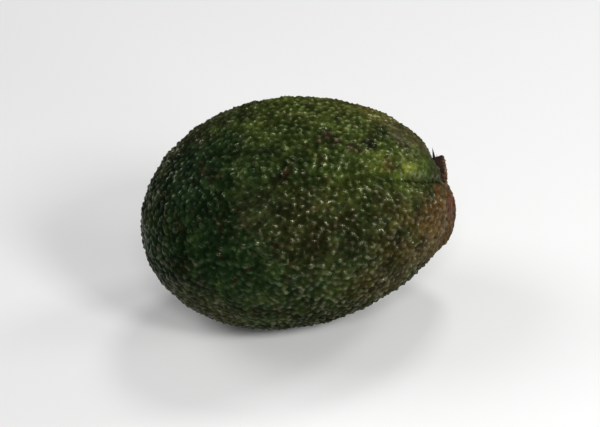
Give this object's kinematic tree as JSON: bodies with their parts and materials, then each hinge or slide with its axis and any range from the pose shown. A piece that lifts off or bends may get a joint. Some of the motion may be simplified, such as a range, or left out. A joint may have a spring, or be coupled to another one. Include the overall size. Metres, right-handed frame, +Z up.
{
  "type": "avocado",
  "caption": "Whole pebbly-skinned avocado lying on its side, with a dried stem button in the dimple at its slimmer end.",
  "frame": {"origin": "on the surface that the fruit lies on, below the middle of its box", "axes": "+X along the fruit towards the stem end, +Z up, as it lies at rest"},
  "size_m": [0.1004, 0.0726, 0.0699],
  "materials": {
    "skin": "satin",
    "stem_bark": "matte"
  },
  "bodies": {
    "root": {"fruit": "skin", "stem_button": "stem_bark"}
  },
  "joints": []
}
